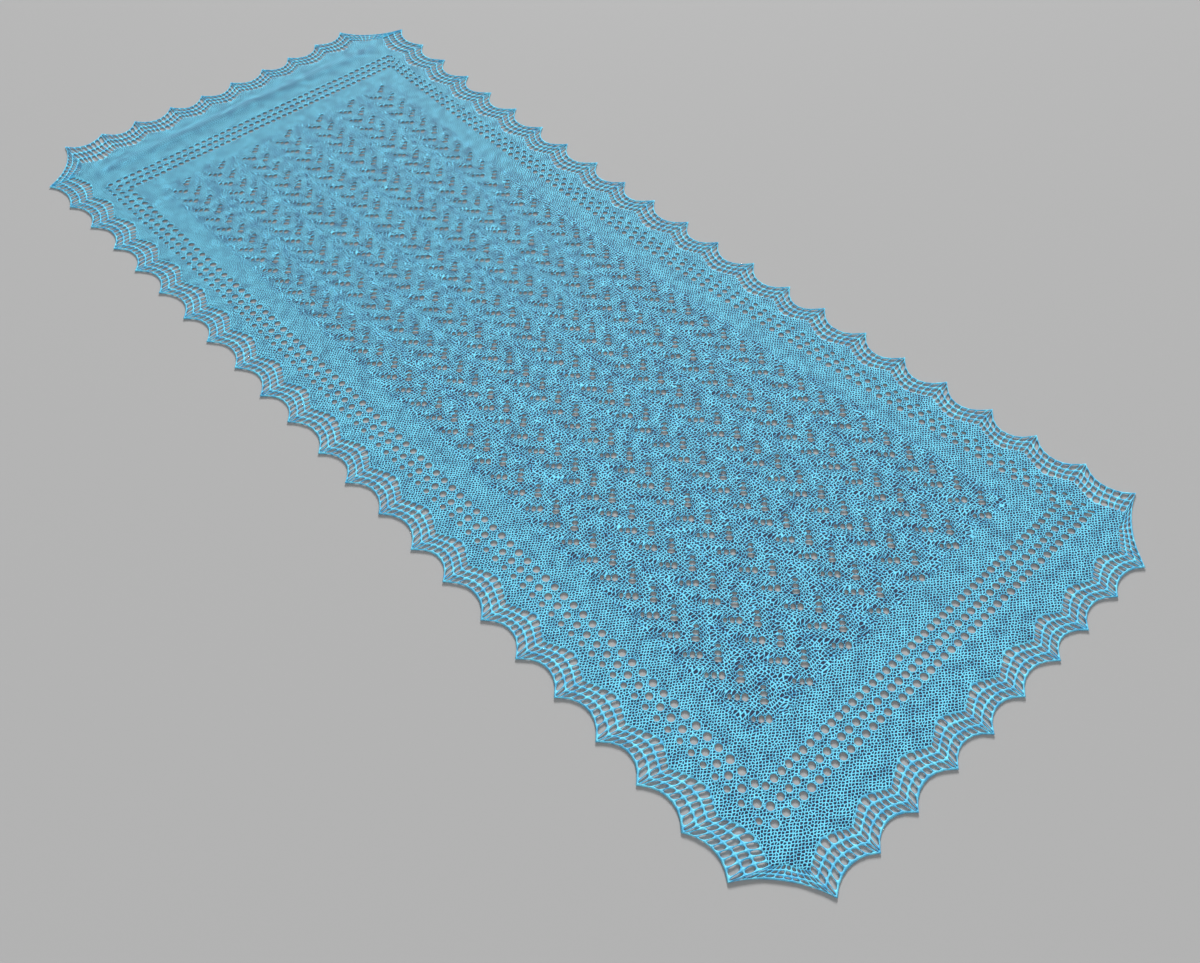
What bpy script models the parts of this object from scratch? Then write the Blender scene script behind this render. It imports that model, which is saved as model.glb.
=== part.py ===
"""Knitted lace shawl, laid out flat: a long rectangle with a scalloped edging on all four sides.

Metres, +Z up.  +X runs along the length from the far end to the near end, and +Y runs across the
width from the left side to the right side.  The underside lies on z = 0, and the whole shawl is
centred over the origin.

The shawl is a centre panel, four strips of border with mitred corners round it, and four strips
of pointed edging.  Each strip is a thin wall of cloth, a seam's gap away from its neighbours.
"""
import math

import bmesh
import bpy
from mathutils import Vector

# Cloth
GROUND_WALL = 0.0012      # thickness of the plain knitted ground
EDGING_WALL = 0.0014      # thickness of the lace edging, whose ribs stand a little higher
SEAM_GAP = 0.0003         # clear space between two neighbouring strips

# Two seam lines, as the places of their four sides.  A bow is how far a long side is drawn in
# at mid-length, because the knitting was pinned out more at the ends.
PANEL_SEAM = {"far": -0.690, "near": 0.690, "left": -0.2545, "right": 0.2585,
              "left_bow": 0.0088, "right_bow": 0.0250}
JOIN_SEAM = {"far": -0.793, "near": 0.763, "left": -0.296, "right": 0.292,
             "left_bow": 0.0070, "right_bow": 0.0220}

# The mitres between the strips of border stop short of the join's corners, because the short
# strips have a plain margin outside their eyelets: x of the long strips' outer corners.
MITRE = {"far": -0.7425, "near": 0.7455}

# Pointed edging.  A side's points run from its first to its last, x and y of each.  Pinning out
# by eye left them uneven: slide is how far the point at mid-side stands along from even spacing,
# and reach how far it stands across, to the left of the way from first to last.
LONG_SIDES = {
    "left": {"arcs": 22, "first": (-0.797, -0.355), "last": (0.740, -0.353), "depth": 0.018,
             "slide": 0.033, "reach": 0.008},
    "right": {"arcs": 22, "first": (-0.790, 0.354), "last": (0.753, 0.344), "depth": 0.0235,
              "slide": 0.023, "reach": -0.021},
}
END_SIDES = {
    "far": {"arcs": 9, "first": (-0.889, -0.286), "last": (-0.868, 0.262), "depth": 0.022,
            "slide": 0.006, "reach": -0.015,
            "corner_depth": 0.014},
    "near": {"arcs": 9, "first": (0.820, -0.287), "last": (0.818, 0.255), "depth": 0.015,
             "slide": 0.005, "reach": -0.002,
             "corner_depth": 0.009},
}
POINT_UNEVEN = 0.003      # how far a point strays along its side, and half of that across
POINT_BEAT = 2.4          # turn in radians from one point's stray to the next's
SHALLOW = 0.45            # how much shallower an arc beside a corner is than one at mid-side
SHALLOW_REACH = 3.0       # a larger number keeps the shallow arcs closer to the corners
ARC_POWER = 2.2           # 2 is a parabola, more is a flatter arc between sharper points
ARC_STEPS = 8             # straight lines that make one arc

# A soft ridge where the far border was folded
RIDGE_X = -0.773
RIDGE_HALF_WIDTH = 0.019
RIDGE_HEIGHT = 0.004

# Divisions of the strips, along and across
LENGTH_STEPS = 24
WIDTH_STEPS = 10
BORDER_STEPS = 1
END_ROWS = {"far": 12, "near": 4}

YARN_BLUE = (0.125, 0.395, 0.585, 1.0)
YARN_BLUE_BRIGHT = (0.155, 0.455, 0.650, 1.0)
YARN_ROUGHNESS = 0.85


def clear_scene():
    for item in list(bpy.data.objects):
        bpy.data.objects.remove(item, do_unlink=True)


def yarn_material(name, colour):
    material = bpy.data.materials.new(name)
    material.use_nodes = True
    shader = material.node_tree.nodes["Principled BSDF"]
    shader.inputs["Base Color"].default_value = colour
    shader.inputs["Roughness"].default_value = YARN_ROUGHNESS
    shader.inputs["Metallic"].default_value = 0.0
    return material


def between(start, end, share):
    return start + (end - start) * share


def bowed(share):
    """1 at mid-length, 0 at both ends."""
    return 1.0 - (2.0 * share - 1.0) ** 2


def long_line(seam, side, x):
    """The point of a seam's long side at x."""
    share = (x - seam["far"]) / (seam["near"] - seam["far"])
    inward = -math.copysign(seam[side + "_bow"], seam[side])
    return Vector((x, seam[side] + inward * bowed(share), 0.0))


def end_line(seam, end, share):
    """A point of a seam's short side, from the left (0) to the right (1)."""
    return Vector((seam[end], between(seam["left"], seam["right"], share), 0.0))


def edging_points(side):
    """The points of a run of edging, first to last, at their slightly uneven places."""
    first = Vector((*side["first"], 0.0))
    last = Vector((*side["last"], 0.0))
    along = (last - first).normalized()
    across = Vector((-along.y, along.x, 0.0))
    points = []
    for index in range(side["arcs"] + 1):
        share = index / side["arcs"]
        stray = POINT_UNEVEN * bowed(share)
        slide = side["slide"] * bowed(share) + stray * math.sin(POINT_BEAT * index)
        reach = side["reach"] * bowed(share) + 0.5 * stray * math.cos(POINT_BEAT * index)
        points.append(first.lerp(last, share) + along * slide + across * reach)
    return points


def arc_depths(side):
    """How deep each arc of a run is hollowed: less beside the corners."""
    depths = []
    for index in range(side["arcs"]):
        inside = math.sin(math.pi * (index + 0.5) / side["arcs"])
        depths.append(side["depth"] * (1.0 - SHALLOW * (1.0 - min(SHALLOW_REACH * inside, 1.0))))
    return depths


def arc_point(start, end, depth, share, inward):
    """A point of the arc between two edging points, hollowed toward the shawl."""
    hollow = depth * (1.0 - abs(2.0 * share - 1.0) ** ARC_POWER)
    return start.lerp(end, share) + inward * hollow


def edging_rim(points, depths):
    """The scalloped outline through the points, with ARC_STEPS lines to an arc."""
    rim = []
    for start, end, depth in zip(points, points[1:], depths):
        chord = (end - start).normalized()
        inward = Vector((-chord.y, chord.x, 0.0))
        if inward.dot(start) > 0.0:
            inward = -inward
        rim += [arc_point(start, end, depth, step / ARC_STEPS, inward) for step in range(ARC_STEPS)]
    return rim + [points[-1]]


def foot_line(feet):
    """For each rim vertex, its foot on the join seam, spread evenly between the points' feet."""
    line = []
    for start, end in zip(feet, feet[1:]):
        line += [start.lerp(end, step / ARC_STEPS) for step in range(ARC_STEPS)]
    return line + [feet[-1]]


def cloth_wall(name, columns, rows, place, wall, colour):
    """A closed wall: place(a, b) is the underside's point at shares a along and b across."""
    shape = bmesh.new()
    bmesh.ops.create_grid(shape, x_segments=columns, y_segments=rows, size=0.5)
    for vertex in shape.verts:
        vertex.co = place(vertex.co.x + 0.5, vertex.co.y + 0.5)
    raised = bmesh.ops.extrude_face_region(shape, geom=shape.faces[:])["geom"]
    raised = [item for item in raised if isinstance(item, bmesh.types.BMVert)]
    bmesh.ops.translate(shape, verts=raised, vec=(0.0, 0.0, wall))
    bmesh.ops.triangulate(shape, faces=shape.faces[:])
    bmesh.ops.recalc_face_normals(shape, faces=shape.faces[:])
    mesh = bpy.data.meshes.new(name)
    shape.to_mesh(mesh)
    shape.free()
    mesh.materials.append(yarn_material(name + "_yarn", colour))
    piece = bpy.data.objects.new(name, mesh)
    bpy.context.scene.collection.objects.link(piece)
    return piece


def centre_panel():
    def place(a, b):
        x = between(PANEL_SEAM["far"], PANEL_SEAM["near"], a)
        return long_line(PANEL_SEAM, "left", x).lerp(long_line(PANEL_SEAM, "right", x), b)

    return cloth_wall("centre_panel", LENGTH_STEPS, WIDTH_STEPS, place, GROUND_WALL, YARN_BLUE)


def side_border(side):
    """A long strip of border: mitred, between the centre panel and the join of the edging."""
    outward = math.copysign(SEAM_GAP, PANEL_SEAM[side])

    def place(a, b):
        inner = long_line(PANEL_SEAM, side, between(PANEL_SEAM["far"], PANEL_SEAM["near"], a))
        outer = long_line(JOIN_SEAM, side, between(MITRE["far"], MITRE["near"], a))
        return (inner + Vector((0.0, outward, 0.0))).lerp(outer, b)

    return cloth_wall("border_" + side + "_side", LENGTH_STEPS, BORDER_STEPS, place, GROUND_WALL, YARN_BLUE)


def ridge_height(point, share):
    """Height of the soft ridge, which dies away towards both ends of the strip."""
    distance = abs(point.x - RIDGE_X) / RIDGE_HALF_WIDTH
    if distance >= 1.0:
        return 0.0
    return RIDGE_HEIGHT * math.cos(math.pi / 2.0 * distance) ** 2 * math.sqrt(math.sin(math.pi * share))


def end_border(end):
    """A short strip of border: mitred as far as MITRE, then a margin between the long edgings."""
    outward = math.copysign(SEAM_GAP, PANEL_SEAM[end])
    rows = END_ROWS[end]
    mitre_rows = round(rows * (MITRE[end] - PANEL_SEAM[end]) / (JOIN_SEAM[end] - PANEL_SEAM[end]))

    def side_limit(side, row):
        if row >= mitre_rows:
            x = between(MITRE[end], JOIN_SEAM[end], (row - mitre_rows) / (rows - mitre_rows))
            return long_line(JOIN_SEAM, side, x)
        inner = Vector((PANEL_SEAM[end] + outward, PANEL_SEAM[side], 0.0))
        return inner.lerp(long_line(JOIN_SEAM, side, MITRE[end]), row / mitre_rows)

    def place(a, b):
        row = round(b * rows)
        point = side_limit("left", row).lerp(side_limit("right", row), a)
        point.y *= 1.0 - 2.0 * SEAM_GAP / abs(PANEL_SEAM["left"])
        if end == "far":
            point.z = ridge_height(point, a)
        return point

    return cloth_wall("border_" + end + "_end", WIDTH_STEPS, rows, place, GROUND_WALL, YARN_BLUE)


def edging_strip(name, rim, feet):
    """A strip of edging between its feet on the join seam and its scalloped rim."""
    def place(a, b):
        index = round(a * (len(rim) - 1))
        return feet[index].lerp(rim[index], b)

    return cloth_wall(name, len(rim) - 1, 1, place, EDGING_WALL, YARN_BLUE_BRIGHT)


def side_edging(side):
    layout = LONG_SIDES[side]
    points = edging_points(layout)
    rim = edging_rim(points, arc_depths(layout))
    outward = math.copysign(SEAM_GAP, JOIN_SEAM[side])
    feet = []
    for point in points:
        share = (point.x - points[0].x) / (points[-1].x - points[0].x)
        x = between(between(JOIN_SEAM["far"], JOIN_SEAM["near"], share), point.x, bowed(share))
        feet.append(long_line(JOIN_SEAM, side, x) + Vector((0.0, outward, 0.0)))
    feet = foot_line(feet)
    for line in (rim, feet):
        line[0] = line[0] + Vector((SEAM_GAP, 0.0, 0.0))
        line[-1] = line[-1] - Vector((SEAM_GAP, 0.0, 0.0))
    return edging_strip("edging_" + side + "_side", rim, feet)


def end_edging(end):
    """A short side's edging, with the arc round the corner at both of its ends."""
    layout = END_SIDES[end]
    corner = "first" if end == "far" else "last"
    points = edging_points(layout)
    points.insert(0, Vector((*LONG_SIDES["left"][corner], 0.0)))
    points.append(Vector((*LONG_SIDES["right"][corner], 0.0)))
    corner_depth = layout["corner_depth"]
    rim = edging_rim(points, [corner_depth] + arc_depths(layout) + [corner_depth])
    outward = math.copysign(SEAM_GAP, JOIN_SEAM[end])
    width = JOIN_SEAM["right"] - JOIN_SEAM["left"]
    feet = []
    for point in points:
        share = min(max((point.y - JOIN_SEAM["left"]) / width, 0.0), 1.0)
        feet.append(end_line(JOIN_SEAM, end, share) + Vector((outward, 0.0, 0.0)))
    return edging_strip("edging_" + end + "_end", rim, foot_line(feet))


def centre_over_origin(pieces):
    """Moves every piece's mesh so that the shawl's box is centred over the origin."""
    corners = [vertex.co for piece in pieces for vertex in piece.data.vertices]
    middle_x = (min(c.x for c in corners) + max(c.x for c in corners)) / 2.0
    middle_y = (min(c.y for c in corners) + max(c.y for c in corners)) / 2.0
    for piece in pieces:
        for vertex in piece.data.vertices:
            vertex.co -= Vector((middle_x, middle_y, 0.0))


def main():
    clear_scene()
    pieces = [centre_panel()]
    for side in ("left", "right"):
        pieces += [side_border(side), side_edging(side)]
    for end in ("far", "near"):
        pieces += [end_border(end), end_edging(end)]
    centre_over_origin(pieces)


main()
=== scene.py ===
"""Knitted lace shawl, laid out flat: its yarn, eyelets and lace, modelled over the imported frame.

Metres, +Z up.  +X runs from the far end to the near end, +Y from the left side to the right.
Every sheet starts as a grid of chart cells, is moved to its place in the shawl, has its eyelets
opened, and is mirrored in its own middle plane, so that it becomes one closed thin shell.
"""
import math

import bmesh
import bpy
from mathutils import Euler, Matrix, Vector, noise


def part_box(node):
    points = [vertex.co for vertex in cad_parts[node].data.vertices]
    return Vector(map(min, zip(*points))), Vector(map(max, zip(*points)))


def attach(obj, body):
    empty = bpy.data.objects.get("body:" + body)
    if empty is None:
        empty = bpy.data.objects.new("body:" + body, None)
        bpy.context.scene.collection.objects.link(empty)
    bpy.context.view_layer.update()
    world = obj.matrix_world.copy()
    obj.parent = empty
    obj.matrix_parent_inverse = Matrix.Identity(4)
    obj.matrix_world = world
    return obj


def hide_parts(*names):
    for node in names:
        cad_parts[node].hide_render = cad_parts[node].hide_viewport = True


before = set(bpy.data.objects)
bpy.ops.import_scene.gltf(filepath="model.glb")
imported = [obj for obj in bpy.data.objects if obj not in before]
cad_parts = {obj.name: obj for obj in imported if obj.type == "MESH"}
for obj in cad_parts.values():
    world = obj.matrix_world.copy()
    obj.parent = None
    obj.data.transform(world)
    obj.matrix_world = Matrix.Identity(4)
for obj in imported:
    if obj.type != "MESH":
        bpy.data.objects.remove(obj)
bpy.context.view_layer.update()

bl_info = {
    "name": "Lace Shawl",
    "version": (1, 0, 0),
    "blender": (4, 5, 0),
    "location": "3D View > Sidebar > Lace Shawl",
    "description": "Models a knitted lace shawl with its eyelets and scalloped edging",
    "category": "Add Mesh",
}

MM = 0.001

# ---------------------------------------------------------------- the shawl's own sizes, metres
# Two seam lines.  A bow is how far a long side is drawn in at mid-length.
PANEL_SEAM = {"far": -0.690, "near": 0.690, "left": -0.2545, "right": 0.2585,
              "left_bow": 0.0088, "right_bow": 0.0250}
JOIN_SEAM = {"far": -0.793, "near": 0.763, "left": -0.296, "right": 0.292,
             "left_bow": 0.0070, "right_bow": 0.0220}
MITRE = {"far": -0.7425, "near": 0.7455}     # x of the long strips' outer corners

# Pointed edging.  A side's points run from its first to its last, x and y of each.  slide is how
# far the point at mid-side stands along from even spacing, and reach how far it stands across,
# to the left of the way from first to last.
LONG_SIDES = {
    "left": {"arcs": 22, "first": (-0.797, -0.355), "last": (0.740, -0.353), "depth": 0.018,
             "slide": 0.033, "reach": 0.008},
    "right": {"arcs": 22, "first": (-0.790, 0.354), "last": (0.753, 0.344), "depth": 0.0235,
              "slide": 0.023, "reach": -0.021},
}
END_SIDES = {
    "far": {"arcs": 9, "first": (-0.889, -0.286), "last": (-0.868, 0.262), "depth": 0.022,
            "slide": 0.006, "reach": -0.015,
            "corner_depth": 0.014},
    "near": {"arcs": 9, "first": (0.820, -0.287), "last": (0.818, 0.255), "depth": 0.015,
             "slide": 0.005, "reach": -0.002,
             "corner_depth": 0.009},
}
POINT_UNEVEN = 0.003        # how far a point strays along its side, and half of that across
POINT_BEAT = 2.4            # turn in radians from one point's stray to the next's
SHALLOW = 0.45              # how much shallower an arc beside a corner is than one at mid-side
SHALLOW_REACH = 3.0         # a larger number keeps the shallow arcs closer to the corners
ARC_POWER = 2.2             # 2 is a parabola, more is a flatter arc between sharper points

# The panel's box is centred on this point of the shawl, which places the shawl in the frame.
PANEL_MIDDLE = Vector((0.0, 0.002, 0.0))
PANEL_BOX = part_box("centre_panel")
OFFSET = (Vector(PANEL_BOX[0]) + Vector(PANEL_BOX[1])) / 2.0 - PANEL_MIDDLE
OFFSET.z = 0.0

# ---------------------------------------------------------------- knitting
STITCH = 2.95 * MM          # one stitch across
ROW = 2.17 * MM             # one row
HALF_GROUND = 0.6 * MM      # half the thickness of plain knitting
HALF_RIB = 0.85 * MM        # half the thickness of the lace's ribs
UNEVEN = 1.1 * MM           # most that a stitch strays from its place
UNEVEN_SEED = 11            # fixes the straying, so that every run gives the same cloth
RELIEF = 0.45 * MM          # typical height of the unevenness of cloth that lies flat
HALF_CORD = 1.15 * MM       # half the thickness of the doubled strands along the rim
UNEVEN_BEAT = 70.0          # how quickly the straying changes, to a metre
SLOW_RELIEF = 9.0           # how quickly the two parts of the relief change, to a metre
QUICK_RELIEF = 31.0
RADIUS_UNEVEN = 0.12        # share by which an eyelet's radius may differ
INSET = 1e-5                # nearly nothing: insets are placed by their own spokes
RING_MARGIN = 0.22 * MM     # least width of cloth between two rings of an opening

# Centre panel: a chart of leaf-like pairs of eyelets, repeated along seven columns.
MOTIF = (
    "......",
    "......",
    "s.....",
    ".m....",
    "..L...",
    "......",
    ".....L",
    "....m.",
    "...s..",
    "......",
    "......",
)
EYELETS = {"s": 3.0 * MM, "m": 3.7 * MM, "L": 4.4 * MM}   # radius of each size of eyelet
OVAL = 1.20                 # how much longer an eyelet is across its line than half-way
MOTIF_LENGTH = len(MOTIF[0])
MOTIF_WIDTH = len(MOTIF)
REPEATS = 38
VINES = 7
END_MARGIN = 6              # plain cells before the first motif and after the last
SIDE_MARGIN = 3             # plain cells beside the first and last columns
SIDE_MARGIN_WIDTH = 0.029
MOTIF_SWELL = 0.24 * MM     # how far the knitting swells between lines of eyelets
FEATHER_SLOPE = 0.36        # how far the stitch columns lean in towards a motif
FEATHER_RETURN = 0.28       # share of a repeat in which they lean back
LINE_STARTS = {1.0: 3.5, -1.0: 6.5}     # column where a motif's line starts, right and left of it
PANEL_RIM = 0.8 * MM        # width of the slope round an eyelet of the panel
PANEL_CLEAR = 0.6 * MM      # cloth kept clear round it

# Borders: row limits as shares of the way from the panel's seam to the join, and the short
# strips' own limits in x.  The last band of each is plain.
LONG_BANDS = (0.0, 0.335, 0.66, 0.90, 1.0)
END_BANDS = {"far": (-0.690, -0.707, -0.7215, -0.7365, -0.7425),
             "near": (0.690, 0.7095, 0.7247, 0.7395, 0.7455)}
END_MARGIN_ROWS = {"far": 8, "near": 3}
LONG_EYELETS = 84
END_EYELETS = 47
LONG_STAGGER = -0.29        # each row is this share of an eyelet's pitch along from the last
END_STAGGER = {"far": 0.15, "near": 0.30}
RIDGE_X = -0.773
RIDGE_HALF_WIDTH = 0.019
RIDGE_HEIGHT = 0.0035
BORDER_RADII = {"left": (4.9, 4.7, 3.9), "right": (4.3, 4.1, 3.4),
                "far": (4.3, 4.2, 4.2), "near": (4.7, 4.6, 4.7)}     # mm, from the panel out
BORDER_RIM = 1.2 * MM       # widths of the outer and inner slope round an eyelet of a border
BORDER_ROLL = 0.8 * MM
LONG_FADE = 12.0            # larger keeps the stagger and the bow closer to the strip's ends
END_FADE = 8.0

# Edging: nine cells to an arc in three rows between four ribs, which zigzag with the points.
ARC_CELLS = 9
CORNER_CELLS = 12
LACE_ROWS = 3
FOOT = {"left": 3.0 * MM, "right": 1.5 * MM, "far": 12.0 * MM, "near": 8.0 * MM, "corner": 6.0 * MM}
ZIGZAG = {"left": 16.0 * MM, "right": 15.0 * MM, "far": 15.0 * MM, "near": 14.5 * MM,
          "corner": 10.0 * MM}
RIB_SHARES_HOLLOW = (0.0, 0.36, 0.68)    # ribs between the lace's foot and the rim, mid-arc
RIB_SHARES_POINT = (0.0, 0.28, 0.58)     # and under a point
ZIGZAG_POWER = 1.2
CORD_INSET = 1.3 * MM
LACE_ROUNDNESS = 0.85
RIB_WIDTHS = (0.85 * MM, 0.9 * MM, 0.9 * MM)      # half-widths along the rows of cells
BAR_WIDTHS = (0.60 * MM, 0.52 * MM, 0.52 * MM)    # half-widths of the bars between cells
LEAN = (0.0, 4.4 * MM, 1.6 * MM, -1.8 * MM, -4.6 * MM, -4.6 * MM)   # along the arc, for each line
CELL_CUTS = 2               # extra vertices on each side of a cell, for a round opening
LEAN_TURNS = (0.30, 0.78)   # where along half an arc an outward and an inward lean are greatest
LACE_RINGS = ((0.5, 0.82), (1.0, 0.0))   # share of the way in, and share of the height kept

# ---------------------------------------------------------------- stage
FLOOR_SIZE = 60.0
CAMERA_PLACE = Vector((0.9303, -0.6382, 1.0347))      # from the middle of the shawl's panel
CAMERA_TURN = (38.603, 2.049, 47.962)                 # degrees
CAMERA_LENS = 31.85
SENSOR_WIDTH = 36.0
LAMP_DISTANCE = 3.0
LIGHTS = (
    # name, strength, softness in degrees, where it comes from
    ("key", 4.3, 16.0, (-0.62, 0.66, 0.48)),
    ("fill", 0.9, 60.0, (0.60, -0.40, 0.75)),
)
WORLD_LIGHT = 0.32


def between(start, end, share):
    return start + (end - start) * share


def smooth_step(low, high, value):
    share = min(max((value - low) / (high - low), 0.0), 1.0)
    return share * share * (3.0 - 2.0 * share)


def bowed(share):
    """1 at mid-length, 0 at both ends."""
    return 1.0 - (2.0 * share - 1.0) ** 2


def long_y(seam, side, x):
    """y of a seam's long side at x."""
    share = (x - seam["far"]) / (seam["near"] - seam["far"])
    return seam[side] - math.copysign(seam[side + "_bow"], seam[side]) * bowed(share)


def edging_points(side):
    """The points of a run of edging, first to last, at their slightly uneven places."""
    first = Vector((*side["first"], 0.0))
    last = Vector((*side["last"], 0.0))
    along = (last - first).normalized()
    across = Vector((-along.y, along.x, 0.0))
    points = []
    for index in range(side["arcs"] + 1):
        share = index / side["arcs"]
        stray = POINT_UNEVEN * bowed(share)
        slide = side["slide"] * bowed(share) + stray * math.sin(POINT_BEAT * index)
        reach = side["reach"] * bowed(share) + 0.5 * stray * math.cos(POINT_BEAT * index)
        points.append(first.lerp(last, share) + along * slide + across * reach)
    return points


def arc_depths(side):
    """How deep each arc of a run is hollowed: less beside the corners."""
    depths = []
    for index in range(side["arcs"]):
        inside = math.sin(math.pi * (index + 0.5) / side["arcs"])
        depths.append(side["depth"] * (1.0 - SHALLOW * (1.0 - min(SHALLOW_REACH * inside, 1.0))))
    return depths


# ---------------------------------------------------------------- sheets of knitting
def chart_grid(columns, rows):
    """A flat grid whose vertices stand at whole numbers: column along X, row along Y."""
    shape = bmesh.new()
    bmesh.ops.create_grid(shape, x_segments=columns, y_segments=rows, size=0.5)
    bmesh.ops.translate(shape, verts=shape.verts[:], vec=(0.5, 0.5, 0.0))
    bmesh.ops.scale(shape, verts=shape.verts[:], vec=(columns, rows, 1.0))
    return shape


def cells_of(shape, radius_at):
    """The cells that open, with the radius (or other size) that radius_at(column, row) gives."""
    found = []
    for face in shape.faces:
        middle = face.calc_center_median()
        size = radius_at(math.floor(middle.x), math.floor(middle.y))
        if size:
            found.append((face, size))
    return found


def part_edges(shape, cells, cuts):
    """Adds vertices along the sides of the cells, so that their openings can be round."""
    edges = list(dict.fromkeys(edge for face, _ in cells for edge in face.edges))
    bmesh.ops.bisect_edges(shape, edges=edges, cuts=cuts)


def lay_stitches(shape, drawn=None, open_at=None):
    """Counts rows along U and stitches along V, and follows stitches that are drawn aside.

    The attribute openness is 1 where the motifs draw the stitches apart.
    """
    layer = shape.loops.layers.uv.new("stitches")
    openness = shape.verts.layers.float.new("openness")
    for vertex in shape.verts:
        x, y = vertex.co.x, vertex.co.y
        aside = drawn(x, y) if drawn else 0.0
        vertex[openness] = open_at(x, y) if open_at else 0.0
        for loop in vertex.link_loops:
            loop[layer].uv = (x / ROW, (y + aside) / STITCH)


def to_place(shape, place):
    """Moves a chart to its place in the shawl, with the small unevenness of hand knitting."""
    noise.seed_set(UNEVEN_SEED)
    for vertex in shape.verts:
        vertex.co = place(vertex.co.x, vertex.co.y)
        if not vertex.is_boundary:
            swerve = noise.noise_vector(Vector((*(vertex.co.xy * UNEVEN_BEAT), 2.5)))
            vertex.co.xy += swerve.xy * UNEVEN


def wall_rim(shape):
    """Turns the sheet's outline down to its middle plane, where it isn't there already."""
    edges = [edge for edge in shape.edges
             if edge.is_boundary and max(vertex.co.z for vertex in edge.verts) > 1e-7]
    for edge in edges:
        edge.smooth = False
    made = bmesh.ops.extrude_edge_only(shape, edges=edges)["geom"]
    for item in made:
        if isinstance(item, bmesh.types.BMVert):
            item.co.z = 0.0


def oval_spoke(spoke, radius, tilt):
    """A spoke of an oval eyelet, which is longer across its tilt's diagonal than along it."""
    spoke = Vector((spoke.x, spoke.y, 0.0)).normalized()
    if not tilt:
        return spoke * radius
    along = abs(spoke.dot(Vector((1.0, tilt, 0.0)).normalized()))
    return spoke * radius * between(OVAL, 1.0 / OVAL, along * along)


def open_round(shape, cells, rings, material):
    """Opens eyelets: rings is (extra radius, height, whether it is strand) from outside to in."""
    faces = [face for face, _ in cells]
    layouts = []
    for face, _ in cells:
        middle = face.calc_center_median()
        layouts.append((middle, [(vertex.co - middle).xy.length for vertex in face.verts]))
    for step, (extra, height, strand) in enumerate(rings):
        margin = (step + 1) * RING_MARGIN
        made = bmesh.ops.inset_individual(shape, faces=faces, thickness=INSET,
                                          use_even_offset=False, use_interpolate=True)["faces"]
        for face in made:
            face.material_index = material if strand else 0
        for (face, (radius, tilt)), (middle, lengths) in zip(cells, layouts):
            for vertex, length in zip(face.verts, lengths):
                spoke = oval_spoke(vertex.co - middle, radius + extra, tilt)
                spoke *= min(1.0, (length - margin) / spoke.length)
                vertex.co = Vector((middle.x, middle.y, height)) + spoke
    bmesh.ops.delete(shape, geom=faces, context="FACES")


def chart_corners(cells):
    """Where each vertex of each cell stands in its cell, from -1 to 1 both ways."""
    spots = []
    for face, _ in cells:
        low = Vector((min(vertex.co.x for vertex in face.verts),
                      min(vertex.co.y for vertex in face.verts)))
        spots.append([(vertex.co.xy - low) * 2.0 - Vector((1.0, 1.0)) for vertex in face.verts])
    return spots


def rounded(spot):
    """Draws a spot of a square towards the circle inside it."""
    round_x = spot.x * math.sqrt(1.0 - spot.y * spot.y / 2.0)
    round_y = spot.y * math.sqrt(1.0 - spot.x * spot.x / 2.0)
    return Vector((between(spot.x, round_x, LACE_ROUNDNESS),
                   between(spot.y, round_y, LACE_ROUNDNESS)))


def open_lace(shape, cells, spots, material):
    """Opens lace cells: between their rounded openings stand strands of their own width."""
    faces = [face for face, _ in cells]
    layouts = []
    for (face, strands), own in zip(cells, spots):
        corner = {(round(spot.x), round(spot.y)): vertex.co.copy()
                  for vertex, spot in zip(face.verts, own) if abs(spot.x * spot.y) > 0.99}
        low = corner[-1, -1], corner[1, -1]
        high = corner[-1, 1], corner[1, 1]
        width = ((low[1] - low[0]).length + (high[1] - high[0]).length) / 2.0
        height = ((high[0] - low[0]).length + (high[1] - low[1]).length) / 2.0
        bar, rib = strands
        shrink = Vector((1.0 - 2.0 * bar / width, 1.0 - 2.0 * rib / height))
        layouts.append((own, low, high, shrink, [vertex.co.copy() for vertex in face.verts]))
    for way, sink in LACE_RINGS:
        made = bmesh.ops.inset_individual(shape, faces=faces, thickness=INSET,
                                          use_even_offset=False, use_interpolate=True)["faces"]
        for face in made:
            face.material_index = material
        for face, (own, low, high, shrink, outline) in zip(faces, layouts):
            for vertex, spot, start in zip(face.verts, own, outline):
                soft = rounded(spot)
                across = (1.0 + soft.x * shrink.x) / 2.0
                up = (1.0 + soft.y * shrink.y) / 2.0
                inner = low[0].lerp(low[1], across).lerp(high[0].lerp(high[1], across), up)
                vertex.co = start.lerp(inner, way)
                vertex.co.z = start.z * sink
    bmesh.ops.delete(shape, geom=faces, context="FACES")


def relief(x, y):
    """Slow unevenness of cloth that lies flat."""
    slow = noise.noise(Vector((x * SLOW_RELIEF, y * SLOW_RELIEF, 0.7)))
    quick = noise.noise(Vector((x * QUICK_RELIEF, y * QUICK_RELIEF, 4.2)))
    return RELIEF * (1.0 + 0.7 * slow + 0.3 * quick)


def close_shell(shape, lift):
    """Mirrors the upper half of the shell in its middle plane and lifts it to lie on the floor."""
    everything = shape.verts[:] + shape.edges[:] + shape.faces[:]
    bmesh.ops.mirror(shape, geom=everything, matrix=Matrix.Identity(4), merge_dist=1e-6, axis="Z")
    bmesh.ops.recalc_face_normals(shape, faces=shape.faces[:])
    for vertex in shape.verts:
        vertex.co.z += HALF_CORD + lift(vertex.co.x, vertex.co.y)
    bmesh.ops.translate(shape, verts=shape.verts[:], vec=OFFSET)


def finish_piece(name, shape, materials):
    mesh = bpy.data.meshes.new(name)
    shape.to_mesh(mesh)
    shape.free()
    for material in materials:
        mesh.materials.append(material)
    mesh.shade_smooth()
    piece = bpy.data.objects.new(name, mesh)
    bpy.context.scene.collection.objects.link(piece)
    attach(piece, "root")
    return piece


# ---------------------------------------------------------------- centre panel
def panel_columns():
    return REPEATS * MOTIF_LENGTH + 2 * END_MARGIN


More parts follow.
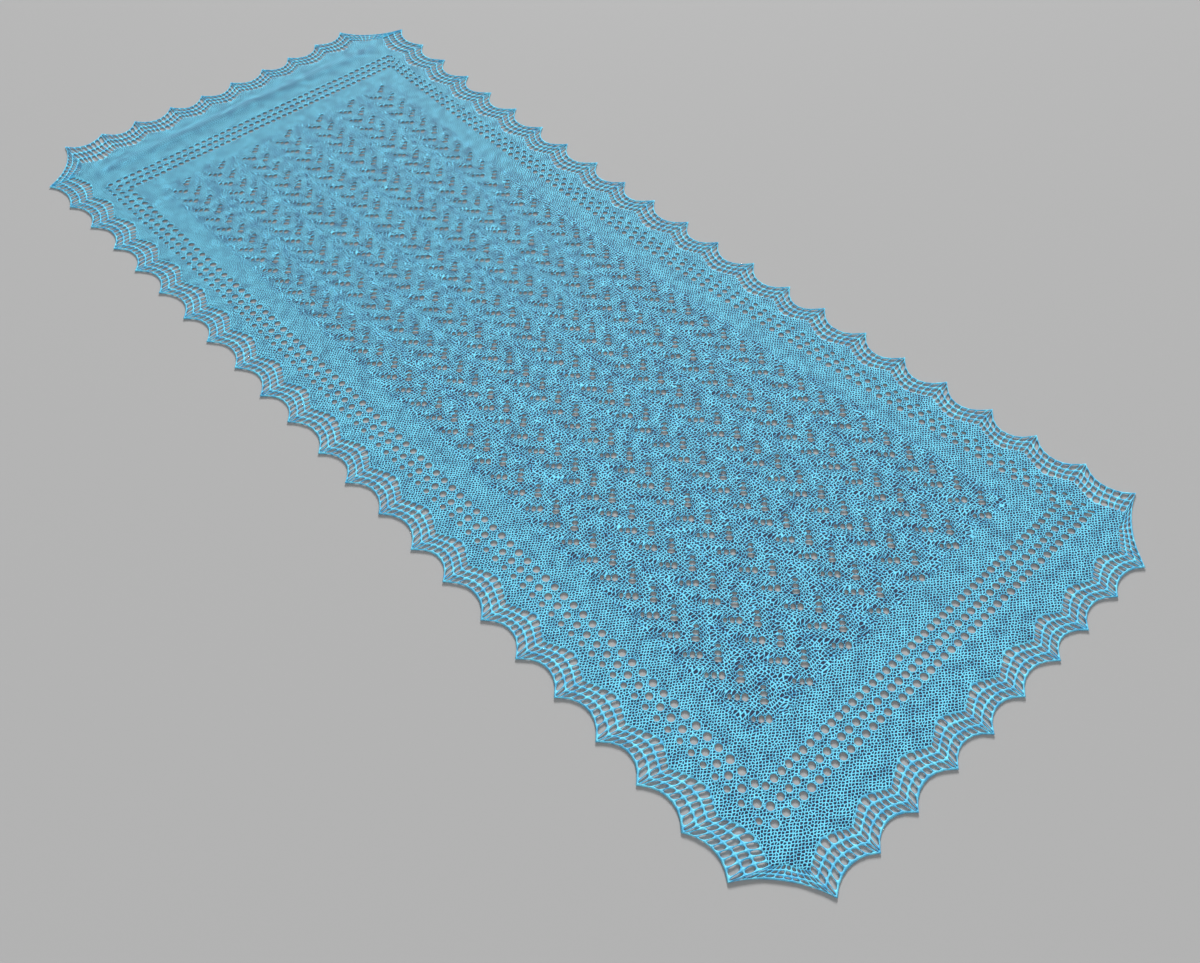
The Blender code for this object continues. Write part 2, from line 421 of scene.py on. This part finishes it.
def panel_rows():
    return VINES * MOTIF_WIDTH + 2 * SIDE_MARGIN


def panel_eyelet(column, row):
    """Radius and tilt of the eyelet in a chart cell, or nothing."""
    column -= END_MARGIN
    row -= SIDE_MARGIN
    if not (0 <= column < REPEATS * MOTIF_LENGTH and 0 <= row < VINES * MOTIF_WIDTH):
        return None
    mark = MOTIF[MOTIF_WIDTH - 1 - row % MOTIF_WIDTH][column % MOTIF_LENGTH]
    if mark not in EYELETS:
        return None
    tilt = -1.0 if row % MOTIF_WIDTH > MOTIF_WIDTH // 2 else 1.0
    return EYELETS[mark] * uneven(column, row), tilt


def panel_chart_point(column, row):
    """x and y in the unbowed panel, for a place on the chart."""
    x = between(PANEL_SEAM["far"], PANEL_SEAM["near"], column / panel_columns())
    cells = VINES * MOTIF_WIDTH
    width = PANEL_SEAM["right"] - PANEL_SEAM["left"]
    if row < SIDE_MARGIN:
        across = SIDE_MARGIN_WIDTH * row / SIDE_MARGIN
    elif row > SIDE_MARGIN + cells:
        across = width - SIDE_MARGIN_WIDTH * (panel_rows() - row) / SIDE_MARGIN
    else:
        across = between(SIDE_MARGIN_WIDTH, width - SIDE_MARGIN_WIDTH, (row - SIDE_MARGIN) / cells)
    return x, PANEL_SEAM["left"] + across


def panel_place(column, row):
    x, y = panel_chart_point(column, row)
    share = (y - PANEL_SEAM["left"]) / (PANEL_SEAM["right"] - PANEL_SEAM["left"])
    y = between(long_y(PANEL_SEAM, "left", x), long_y(PANEL_SEAM, "right", x), share)
    return Vector((x, y, HALF_GROUND))


def panel_cell(x, y):
    """The place on the chart, column and row, of a point of the panel."""
    column = panel_columns() * (x - PANEL_SEAM["far"]) / (PANEL_SEAM["near"] - PANEL_SEAM["far"])
    left = long_y(PANEL_SEAM, "left", x)
    share = (y - left) / (long_y(PANEL_SEAM, "right", x) - left)
    width = PANEL_SEAM["right"] - PANEL_SEAM["left"]
    cells = VINES * MOTIF_WIDTH
    across = share * width - SIDE_MARGIN_WIDTH
    row = SIDE_MARGIN + cells * across / (width - 2.0 * SIDE_MARGIN_WIDTH)
    return column, row


def motif_zone(x, y):
    """1 beside a motif's eyelets, 0 in the plain knitting round all of them."""
    column, row = panel_cell(x, y)
    off_centre = abs((row - SIDE_MARGIN) % MOTIF_WIDTH - MOTIF_WIDTH / 2.0)
    inside = smooth_step(-1.0, 1.0, column - END_MARGIN)
    inside *= smooth_step(-1.0, 1.0, END_MARGIN + REPEATS * MOTIF_LENGTH - column)
    inside *= smooth_step(-1.0, 1.0, row - SIDE_MARGIN)
    inside *= smooth_step(-1.0, 1.0, SIDE_MARGIN + VINES * MOTIF_WIDTH - row)
    return inside * (1.0 - 0.5 * smooth_step(3.6, 5.4, off_centre))


def motif_turn(x, y):
    """1 on the slanting lines of eyelets, falling to -1 half-way to the next ones."""
    column, row = panel_cell(x, y)
    off_centre = (row - SIDE_MARGIN) % MOTIF_WIDTH - MOTIF_WIDTH / 2.0
    start = END_MARGIN + LINE_STARTS[1.0 if off_centre > 0.0 else -1.0] - abs(off_centre)
    return math.cos((column - start) * math.tau / MOTIF_LENGTH)


def panel_openness(x, y):
    return motif_zone(x, y) * (0.75 + 0.25 * motif_turn(x, y))


def panel_relief(x, y):
    """The panel's own swell: the knitting sinks along its lines of eyelets."""
    return relief(x, y) + MOTIF_SWELL * motif_zone(x, y) * (1.0 - motif_turn(x, y))


def feather(x, y):
    """How far the stitch columns are drawn across by the motifs, in metres."""
    column, row = panel_cell(x, y)
    column -= END_MARGIN
    row -= SIDE_MARGIN
    if not 0.0 <= row <= VINES * MOTIF_WIDTH:
        return 0.0
    off_centre = row % MOTIF_WIDTH - MOTIF_WIDTH / 2.0
    distance = abs(off_centre)
    side = math.copysign(1.0, off_centre)
    strength = smooth_step(0.3, 1.6, distance) * (1.0 - smooth_step(3.4, 5.5, distance))
    strength *= smooth_step(-2.0, 0.0, column)
    strength *= 1.0 - smooth_step(0.0, 2.0, column - REPEATS * MOTIF_LENGTH)
    start = LINE_STARTS[side] - distance
    turn = ((column - start) / MOTIF_LENGTH) % 1.0
    slow = 1.0 - FEATHER_RETURN
    wave = 0.5 - turn / slow if turn < slow else -0.5 + (turn - slow) / FEATHER_RETURN
    length = MOTIF_LENGTH * (PANEL_SEAM["near"] - PANEL_SEAM["far"]) / panel_columns()
    return -side * FEATHER_SLOPE * slow * length * wave * strength


def make_panel(materials):
    shape = chart_grid(panel_columns(), panel_rows())
    cells = cells_of(shape, panel_eyelet)
    part_edges(shape, cells, 1)
    to_place(shape, panel_place)
    for face, (radius, tilt) in sorted(cells, key=lambda cell: cell[1][0]):
        middle = face.calc_center_median()
        for vertex in face.verts:
            spoke = vertex.co - middle
            clear = oval_spoke(spoke, radius + PANEL_CLEAR, tilt)
            if spoke.xy.length < clear.length:
                vertex.co.xy = (middle + clear).xy
    wall_rim(shape)
    open_round(shape, cells, ((PANEL_RIM, 1.25 * HALF_GROUND, False), (0.0, 0.0, True)), 1)
    lay_stitches(shape, feather, panel_openness)
    close_shell(shape, panel_relief)
    return finish_piece("centre_panel_knit", shape, materials)


# ---------------------------------------------------------------- borders
def band_share(limits, row):
    """A value on the way through the bands' limits, for a row that may lie inside a band."""
    band = min(int(row), len(limits) - 2)
    return between(limits[band], limits[band + 1], row - band)


def corner_point(end, side, row):
    """A point of a mitre between two strips of border."""
    x = band_share(END_BANDS[end], row)
    share = band_share(LONG_BANDS, row)
    return Vector((x, between(PANEL_SEAM[side], long_y(JOIN_SEAM, side, MITRE[end]), share), 0.0))


def long_border_place(side):
    pitch = (MITRE["near"] - MITRE["far"]) / LONG_EYELETS

    def place(column, row):
        share = column / LONG_EYELETS
        far = corner_point("far", side, row)
        near = corner_point("near", side, row)
        fade = min(1.0, LONG_FADE * bowed(share))
        x = between(far.x, near.x, share) + LONG_STAGGER * pitch * row * fade
        panel_y = long_y(PANEL_SEAM, side, x)
        join_y = long_y(JOIN_SEAM, side, x)
        bow_y = between(panel_y, join_y, band_share(LONG_BANDS, row))
        corner_y = between(far.y, near.y, share)
        return Vector((x, between(corner_y, bow_y, fade), HALF_GROUND))

    return place


def end_border_limit(end, side, row):
    mitred = len(END_BANDS[end]) - 1
    if row <= mitred:
        return corner_point(end, side, row)
    x = between(MITRE[end], JOIN_SEAM[end], (row - mitred) / END_MARGIN_ROWS[end])
    return Vector((x, long_y(JOIN_SEAM, side, x), 0.0))


def end_border_place(end):
    pitch = (JOIN_SEAM["right"] - JOIN_SEAM["left"]) / END_EYELETS

    def place(column, row):
        share = column / END_EYELETS
        point = end_border_limit(end, "left", row).lerp(end_border_limit(end, "right", row), share)
        rows = min(row, len(END_BANDS[end]) - 1)
        point.y += END_STAGGER[end] * pitch * rows * min(1.0, END_FADE * bowed(share))
        point.z = HALF_GROUND
        return point

    return place


def ridge(x, y):
    """Height of the soft fold in the far border."""
    distance = abs(x - RIDGE_X) / RIDGE_HALF_WIDTH
    share = (y - JOIN_SEAM["left"]) / (JOIN_SEAM["right"] - JOIN_SEAM["left"])
    if distance >= 1.0 or not 0.0 < share < 1.0:
        return 0.0
    return RIDGE_HEIGHT * math.cos(math.pi / 2.0 * distance) ** 2 * math.sqrt(math.sin(math.pi * share))


def uneven(column, row):
    """A factor near 1 that differs from eyelet to eyelet."""
    return 1.0 + RADIUS_UNEVEN * noise.noise(Vector((column * 1.7 + 0.3, row * 2.3 + 0.6, 9.1)))


def border_eyelet(radii):
    def radius(column, row):
        return (radii[row] * uneven(column, row), 0.0) if row < len(radii) else None

    return radius


def make_border(name, columns, rows, place, radii, materials):
    shape = chart_grid(columns, rows)
    cells = cells_of(shape, border_eyelet(radii))
    part_edges(shape, cells, CELL_CUTS)
    to_place(shape, place)
    wall_rim(shape)
    open_round(shape, cells, ((BORDER_RIM, HALF_GROUND, False),
                              (BORDER_ROLL, 1.5 * HALF_GROUND, True), (0.0, 0.0, True)), 1)
    lay_stitches(shape, None, lambda x, y: ridge(x, y) / RIDGE_HEIGHT)
    close_shell(shape, lambda x, y: relief(x, y) + ridge(x, y))
    return finish_piece(name, shape, materials)


# ---------------------------------------------------------------- edging
def lace_lines(foot, zigzag, reach, tipness):
    """Distances from the join to the lace's foot, its two inner ribs and its rim's cord."""
    start = foot + zigzag * tipness
    lines = [0.0]
    for hollow, point in zip(RIB_SHARES_HOLLOW, RIB_SHARES_POINT):
        lines.append(start + (reach - start) * between(hollow, point, tipness))
    return lines + [reach - CORD_INSET, reach]


def arc_lean(share, row):
    """How far a place leans out along its arc, so that the bars stand across the slanting ribs."""
    from_hollow = 2.0 * share - 1.0
    lean = band_share(LEAN, row)
    turn = LEAN_TURNS[0] if lean > 0.0 else LEAN_TURNS[1]
    reach = abs(from_hollow)
    strength = reach / turn if reach < turn else (1.0 - reach) / (1.0 - turn)
    return math.copysign(lean * strength, from_hollow)


def edging_place(side, points, feet, depths, counts):
    """Places an edging's chart: so many cells to an arc, rows join to foot, lace, and cord."""
    arcs = len(points) - 1
    starts = [sum(counts[:arc]) for arc in range(arcs)]

    def place(column, row):
        arc = max(arc for arc in range(arcs) if arc == 0 or starts[arc] <= column - 1e-6)
        share = (column - starts[arc]) / counts[arc]
        share += arc_lean(share, row) / (points[arc + 1] - points[arc]).length
        chord = (points[arc + 1] - points[arc]).normalized()
        inward = Vector((-chord.y, chord.x, 0.0))
        if inward.dot(points[arc]) > 0.0:
            inward = -inward
        hollow = depths[arc] * (1.0 - abs(2.0 * share - 1.0) ** ARC_POWER)
        rim = points[arc].lerp(points[arc + 1], share) + inward * hollow
        foot = feet[arc].lerp(feet[arc + 1], share)
        tipness = abs(2.0 * share - 1.0) ** ZIGZAG_POWER
        corner = max(0.0, 1.0 - min(column, sum(counts) - column) / ARC_CELLS)
        lines = lace_lines(between(FOOT[side], FOOT["corner"], corner),
                           between(ZIGZAG[side], ZIGZAG["corner"], corner),
                           (rim - foot).length, tipness)
        heights = [HALF_GROUND, HALF_RIB, HALF_RIB, HALF_RIB, HALF_CORD, 0.0]
        point = foot + (rim - foot).normalized() * band_share(lines, row)
        point.z = band_share(heights, row)
        return point

    return place


def lace_cell(column, row):
    """Half-widths of the strands round a cell of the lace, or nothing in plain knitting."""
    if not 1 <= row <= LACE_ROWS:
        return None
    return BAR_WIDTHS[row - 1], RIB_WIDTHS[row - 1]


def make_edging(name, side, points, feet, depths, counts, materials):
    shape = chart_grid(sum(counts), LACE_ROWS + 2)
    cells = cells_of(shape, lace_cell)
    part_edges(shape, cells, CELL_CUTS)
    for face in shape.faces:
        face.material_index = 1 if face.calc_center_median().y > LACE_ROWS + 1 else 0
    place = edging_place(side, points, feet, depths, counts)
    spots = chart_corners(cells)
    to_place(shape, place)
    wall_rim(shape)
    open_lace(shape, cells, spots, 1)
    lay_stitches(shape)
    close_shell(shape, relief)
    return finish_piece(name, shape, materials)


def side_feet(side, points):
    feet = []
    for point in points:
        share = (point.x - points[0].x) / (points[-1].x - points[0].x)
        x = between(between(JOIN_SEAM["far"], JOIN_SEAM["near"], share), point.x, bowed(share))
        feet.append(Vector((x, long_y(JOIN_SEAM, side, x), 0.0)))
    return feet


def end_feet(end, points):
    low, high = JOIN_SEAM["left"], JOIN_SEAM["right"]
    return [Vector((JOIN_SEAM[end], min(max(point.y, low), high), 0.0)) for point in points]


# ---------------------------------------------------------------- materials
PLAIN_NET = 0.52            # meshes of the plain net to a stitch along each diagonal
PLAIN_UNEVEN = 0.55
DRAWN_NET = (0.52, 0.72)    # meshes to a row and to a stitch where motifs draw the net open
DRAWN_UNEVEN = 0.60


def new_material(name):
    material = bpy.data.materials.new(name)
    material.use_nodes = True
    return material, material.node_tree.nodes, material.node_tree.links


class NodeMaths:
    """Short calls for chains of Math nodes in one material."""

    def __init__(self, material):
        self.nodes = material.node_tree.nodes
        self.links = material.node_tree.links

    def link(self, value, socket):
        if isinstance(value, (int, float)):
            socket.default_value = value
        else:
            self.links.new(value, socket)

    def maths(self, operation, *values):
        node = self.nodes.new("ShaderNodeMath")
        node.operation = operation
        for value, socket in zip(values, node.inputs):
            self.link(value, socket)
        return node.outputs[0]

    def step(self, value, low, high):
        node = self.nodes.new("ShaderNodeMapRange")
        node.interpolation_type = "SMOOTHSTEP"
        node.inputs["From Min"].default_value = low
        node.inputs["From Max"].default_value = high
        self.link(value, node.inputs["Value"])
        return node.outputs["Result"]

    def mix(self, share, first, second):
        node = self.nodes.new("ShaderNodeMix")
        node.data_type = "RGBA"
        self.link(share, node.inputs[0])
        for value, socket in ((first, node.inputs[6]), (second, node.inputs[7])):
            if isinstance(value, tuple):
                socket.default_value = value
            else:
                self.links.new(value, socket)
        return node.outputs[2]

    def noise(self, vector, scale, detail):
        node = self.nodes.new("ShaderNodeTexNoise")
        node.inputs["Scale"].default_value = scale
        node.inputs["Detail"].default_value = detail
        self.links.new(vector, node.inputs["Vector"])
        return node.outputs["Fac"]

    def net(self, first, second, scale, unevenness):
        """Distance from the yarn of a net of that many meshes to a unit, both ways."""
        lattice = self.nodes.new("ShaderNodeCombineXYZ")
        self.link(first, lattice.inputs["X"])
        self.link(second, lattice.inputs["Y"])
        net = self.nodes.new("ShaderNodeTexVoronoi")
        net.voronoi_dimensions = "2D"
        net.feature = "DISTANCE_TO_EDGE"
        net.inputs["Scale"].default_value = scale
        net.inputs["Randomness"].default_value = unevenness
        self.links.new(lattice.outputs[0], net.inputs["Vector"])
        return net.outputs["Distance"]

    def bump(self, height, distance, strength):
        node = self.nodes.new("ShaderNodeBump")
        node.inputs["Distance"].default_value = distance
        node.inputs["Strength"].default_value = strength
        self.links.new(height, node.inputs["Height"])
        return node.outputs["Normal"]


def yarn_shader(nodes, looks):
    shader = nodes["Principled BSDF"]
    shader.inputs["Roughness"].default_value = 0.82
    shader.inputs["Sheen Weight"].default_value = looks.sheen
    shader.inputs["Sheen Roughness"].default_value = 0.45
    shader.inputs["Sheen Tint"].default_value = (0.75, 0.93, 1.0, 1.0)
    return shader


def knit_material(looks):
    """Fine open knitting: a net of yarn round the small gaps between the stitches, which are painted
    dark as shade, with a painted highlight along the middle of each strand.
    """
    material, nodes, links = new_material("turquoise_knit")
    make = NodeMaths(material)
    uv = nodes.new("ShaderNodeUVMap")
    uv.uv_map = "stitches"
    split = nodes.new("ShaderNodeSeparateXYZ")
    links.new(uv.outputs[0], split.inputs[0])
    drift = make.maths("SUBTRACT", make.noise(uv.outputs[0], 0.22, 1.0), 0.5)
    row = make.maths("ADD", split.outputs["X"], drift)
    stitch = make.maths("ADD", split.outputs["Y"], drift)
    plain = make.net(make.maths("ADD", row, stitch), make.maths("SUBTRACT", row, stitch),
                     PLAIN_NET, PLAIN_UNEVEN)
    drawn = make.net(make.maths("MULTIPLY", row, DRAWN_NET[0]),
                     make.maths("MULTIPLY", stitch, DRAWN_NET[1]), 1.0, DRAWN_UNEVEN)
    opened = nodes.new("ShaderNodeAttribute")
    opened.attribute_name = "openness"
    patchy = make.maths("SUBTRACT", make.noise(uv.outputs[0], 0.16, 4.0), 0.5)
    from_yarn = make.maths("ADD", plain, make.maths("MULTIPLY", patchy, 0.24))
    lean = make.maths("MULTIPLY", make.maths("SUBTRACT", drawn, plain),
                      make.step(opened.outputs["Fac"], 0.1, 0.6))
    from_yarn = make.maths("ADD", from_yarn, lean)
    wide = make.maths("MULTIPLY", make.step(opened.outputs["Fac"], 0.45, 1.0), 0.045)
    from_yarn = make.maths("ADD", from_yarn, wide)
    # Painted shade: the middle of each gap between the stitches takes the dark gap colour, standing in
    # for the shade deep between them.
    dark = make.step(from_yarn, 0.14, 0.19)
    # Painted highlight: the middle of each strand of the net turns to the highlight colour.
    bright = make.step(from_yarn, 0.13, 0.05)
    yarn = make.mix(bright, tuple(looks.yarn) + (1.0,), tuple(looks.highlight) + (1.0,))
    colour = make.mix(dark, yarn, tuple(looks.gap) + (1.0,))
    shader = yarn_shader(nodes, looks)
    links.new(colour, shader.inputs["Base Color"])
    height = make.maths("SUBTRACT", 1.0, make.step(from_yarn, 0.0, 0.30))
    links.new(make.bump(height, 0.45 * MM, 0.8), shader.inputs["Normal"])
    return material


def strand_material(looks):
    """Single strands of lace and the rims of eyelets: smooth bright yarn with a fine twist."""
    material, nodes, links = new_material("turquoise_strand")
    make = NodeMaths(material)
    place = nodes.new("ShaderNodeTexCoord")
    fine = make.noise(place.outputs["Object"], 1400.0, 2.0)
    slow = make.noise(place.outputs["Object"], 120.0, 2.0)
    both = make.maths("ADD", make.maths("MULTIPLY", fine, 0.5), make.maths("MULTIPLY", slow, 0.5))
    # The yarn turns towards the highlight colour where the fine twist of the bump stands high and where
    # the slow noise is high.
    share = make.step(both, 0.35, 0.65)
    colour = make.mix(share, tuple(looks.yarn) + (1.0,), tuple(looks.highlight) + (1.0,))
    shader = yarn_shader(nodes, looks)
    links.new(colour, shader.inputs["Base Color"])
    links.new(make.bump(fine, 0.2 * MM, 0.6), shader.inputs["Normal"])
    return material


def shared_material(name, make, looks):
    return bpy.data.materials.get(name) or make(looks)


def shawl_materials(looks):
    return [shared_material("turquoise_knit", knit_material, looks),
            shared_material("turquoise_strand", strand_material, looks)]


# ---------------------------------------------------------------- properties
class ShawlLooks(bpy.types.PropertyGroup):
    """Colours of the yarn and of the stage."""

    yarn: bpy.props.FloatVectorProperty(
        name="Yarn", description="Main colour of the yarn", subtype="COLOR",
        size=3, min=0.0, max=1.0, default=(0.060, 0.385, 0.680))
    # Painted highlight: the colour painted along the middle of the knitting's strands; the lace strands
    # also turn towards it where their twist stands high and at random.
    highlight: bpy.props.FloatVectorProperty(
        name="Highlight", description="Colour of the yarn where it catches the light", subtype="COLOR",
        size=3, min=0.0, max=1.0, default=(0.190, 0.780, 0.990))
    # Painted shade: the dark colour painted into the gaps between the stitches.
    gap: bpy.props.FloatVectorProperty(
        name="Gap", description="Colour deep between the stitches", subtype="COLOR",
        size=3, min=0.0, max=1.0, default=(0.002, 0.016, 0.055))
    sheen: bpy.props.FloatProperty(
        name="Sheen", description="Strength of the soft sheen of fine fibres",
        min=0.0, max=1.0, default=0.08)
    floor: bpy.props.FloatVectorProperty(
        name="Floor", description="Colour of the plain floor", subtype="COLOR",
        size=3, min=0.0, max=1.0, default=(0.37, 0.37, 0.37))


def border_radii(strip):
    return [radius * MM for radius in BORDER_RADII[strip]]


class SHAWL_OT_panel(bpy.types.Operator):
    """Knit the centre panel with its columns of eyelet motifs"""

    bl_idname = "shawl.panel"
    bl_label = "Centre panel"

    def execute(self, context):
        piece = make_panel(shawl_materials(context.scene.shawl_looks))
        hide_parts("centre_panel")
        return {"FINISHED"}


class SHAWL_OT_borders(bpy.types.Operator):
    """Knit the four strips of border with their rows of eyelets"""

    bl_idname = "shawl.borders"
    bl_label = "Borders"

    def execute(self, context):
        materials = shawl_materials(context.scene.shawl_looks)
        for side in LONG_SIDES:
            piece = make_border(
                "border_" + side + "_knit", LONG_EYELETS, len(LONG_BANDS) - 1,
                long_border_place(side), border_radii(side), materials)
            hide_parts("border_" + side + "_side")
        for end in END_SIDES:
            rows = len(END_BANDS[end]) - 1 + END_MARGIN_ROWS[end]
            piece = make_border(
                "border_" + end + "_knit", END_EYELETS, rows,
                end_border_place(end), border_radii(end), materials)
            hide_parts("border_" + end + "_end")
        return {"FINISHED"}


class SHAWL_OT_edging(bpy.types.Operator):
    """Knit the scalloped lace edging of the four sides"""

    bl_idname = "shawl.edging"
    bl_label = "Edging"

    def execute(self, context):
        materials = shawl_materials(context.scene.shawl_looks)
        for side, layout in LONG_SIDES.items():
            points = edging_points(layout)
            piece = make_edging("edging_" + side + "_lace", side, points, side_feet(side, points),
                                arc_depths(layout), [ARC_CELLS] * layout["arcs"], materials)
            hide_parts("edging_" + side + "_side")
        for end, layout in END_SIDES.items():
            corner = "first" if end == "far" else "last"
            points = [Vector((*LONG_SIDES["left"][corner], 0.0)), *edging_points(layout),
                      Vector((*LONG_SIDES["right"][corner], 0.0))]
            deep = layout["corner_depth"]
            counts = [CORNER_CELLS] + [ARC_CELLS] * layout["arcs"] + [CORNER_CELLS]
            piece = make_edging("edging_" + end + "_lace", end, points, end_feet(end, points),
                                [deep] + arc_depths(layout) + [deep], counts, materials)
            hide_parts("edging_" + end + "_end")
        return {"FINISHED"}


class SHAWL_OT_stage(bpy.types.Operator):
    """Add the floor, the lights and the camera"""

    bl_idname = "shawl.stage"
    bl_label = "Stage"

    def execute(self, context):
        looks = context.scene.shawl_looks
        make_floor(looks)
        make_lights()
        make_view()
        make_camera()
        return {"FINISHED"}


def make_floor(looks):
    shape = bmesh.new()
    bmesh.ops.create_grid(shape, x_segments=1, y_segments=1, size=FLOOR_SIZE / 2.0)
    mesh = bpy.data.meshes.new("floor")
    shape.to_mesh(mesh)
    shape.free()
    material, nodes, _ = new_material("pale_floor")
    shader = nodes["Principled BSDF"]
    shader.inputs["Base Color"].default_value = tuple(looks.floor) + (1.0,)
    shader.inputs["Roughness"].default_value = 0.9
    mesh.materials.append(material)
    floor = bpy.data.objects.new("floor", mesh)
    bpy.context.scene.collection.objects.link(floor)


def make_lights():
    for name, strength, softness, origin in LIGHTS:
        light = bpy.data.lights.new(name, "SUN")
        light.energy = strength
        light.angle = math.radians(softness)
        lamp = bpy.data.objects.new(name, light)
        lamp.location = Vector(origin) * LAMP_DISTANCE
        lamp.rotation_euler = Vector(origin).to_track_quat("Z", "Y").to_euler()
        bpy.context.scene.collection.objects.link(lamp)
    world = bpy.data.worlds.new("studio")
    world.use_nodes = True
    background = world.node_tree.nodes["Background"]
    background.inputs["Color"].default_value = (1.0, 1.0, 1.0, 1.0)
    background.inputs["Strength"].default_value = WORLD_LIGHT
    bpy.context.scene.world = world


def make_view():
    """Shows colours as they are, without a film curve."""
    bpy.context.scene.view_settings.view_transform = "Standard"


def make_camera():
    data = bpy.data.cameras.new("camera")
    data.lens = CAMERA_LENS
    data.sensor_width = SENSOR_WIDTH
    data.clip_start = 0.01
    camera = bpy.data.objects.new("camera", data)
    camera.location = CAMERA_PLACE + OFFSET
    camera.rotation_euler = Euler([math.radians(angle) for angle in CAMERA_TURN])
    bpy.context.scene.collection.objects.link(camera)
    bpy.context.scene.camera = camera


class SHAWL_PT_panel(bpy.types.Panel):
    """The shawl's pieces and colours in the sidebar"""

    bl_idname = "SHAWL_PT_panel"
    bl_label = "Lace Shawl"
    bl_space_type = "VIEW_3D"
    bl_region_type = "UI"
    bl_category = "Lace Shawl"

    def draw(self, context):
        looks = context.scene.shawl_looks
        for name in ("yarn", "highlight", "gap", "sheen", "floor"):
            self.layout.prop(looks, name)
        for operator in OPERATORS:
            self.layout.operator(operator.bl_idname)


OPERATORS = (SHAWL_OT_panel, SHAWL_OT_borders, SHAWL_OT_edging, SHAWL_OT_stage)
CLASSES = (ShawlLooks, *OPERATORS, SHAWL_PT_panel)


def register():
    for item in CLASSES:
        bpy.utils.register_class(item)
    bpy.types.Scene.shawl_looks = bpy.props.PointerProperty(type=ShawlLooks)


def unregister():
    del bpy.types.Scene.shawl_looks
    for item in reversed(CLASSES):
        bpy.utils.unregister_class(item)


def main():
    register()
    bpy.ops.shawl.panel()
    bpy.ops.shawl.borders()
    bpy.ops.shawl.edging()
    bpy.ops.shawl.stage()


if __name__ == "__main__":
    main()
